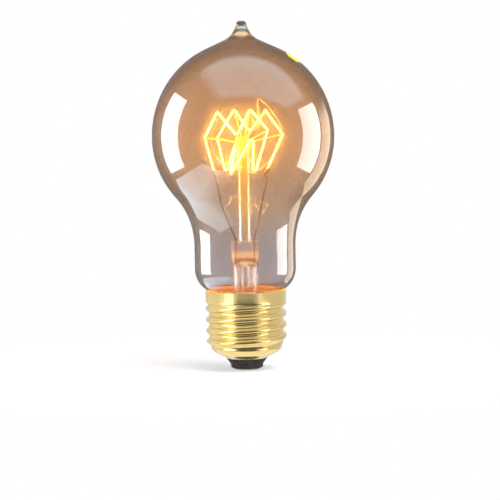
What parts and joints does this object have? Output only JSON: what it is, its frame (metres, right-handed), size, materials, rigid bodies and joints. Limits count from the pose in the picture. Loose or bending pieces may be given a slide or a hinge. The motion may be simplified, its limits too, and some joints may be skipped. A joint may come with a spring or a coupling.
{
  "type": "filament bulb",
  "caption": "Clear amber bulb with a drawn tip, a caged zigzag filament on a glass stem and a brass screw cap",
  "frame": {"origin": "on the bulb's axis, at the lowest point of the centre contact's solder", "axes": "+Z runs along the axis from the centre contact to the tip; -Y is the side in the picture; +X is its right"},
  "size_m": [0.059, 0.059, 0.113],
  "materials": {
    "amber_glass": "clear, gloss, light amber stain",
    "tip_glass": "clear, gloss, fire-polished",
    "stem_glass": "clear, gloss",
    "rod_glass": "clear, gloss",
    "nickel_wire": "drawn wire, slightly dull",
    "seal_wire": "copper-clad, oxidised red",
    "copper_wire": "drawn copper, bright",
    "support_wire": "drawn wire, dark grey",
    "glowing_filament": "wound wire, glowing",
    "brass": "rolled sheet, polished",
    "black_glass": "opaque black, gloss",
    "solder": "soft solder, bright",
    "cement": "matt"
  },
  "bodies": {
    "root": {"glass_envelope": "amber_glass", "exhaust_tip": "tip_glass", "stem_flare": "stem_glass", "exhaust_tube": "stem_glass", "glass_rod": "rod_glass", "inner_lead_left": "nickel_wire", "inner_lead_right": "nickel_wire", "seal_lead_left": "seal_wire", "seal_lead_right": "seal_wire", "outer_lead_left": "copper_wire", "outer_lead_right": "copper_wire", "filament": "glowing_filament", "screw_shell": "brass", "cap_insulator": "black_glass", "centre_contact": "brass", "centre_solder": "solder", "side_solder": "solder", "basing_cement": "cement", "middle_support_1": "support_wire", "middle_support_2": "support_wire", "middle_support_3": "support_wire", "middle_support_4": "support_wire", "middle_support_5": "support_wire", "middle_support_6": "support_wire", "middle_support_7": "support_wire", "middle_support_8": "support_wire", "top_support_1": "support_wire", "top_support_2": "support_wire", "top_support_3": "support_wire", "top_support_4": "support_wire", "lower_support_1": "support_wire", "lower_support_2": "support_wire", "lower_support_3": "support_wire"}
  },
  "joints": []
}
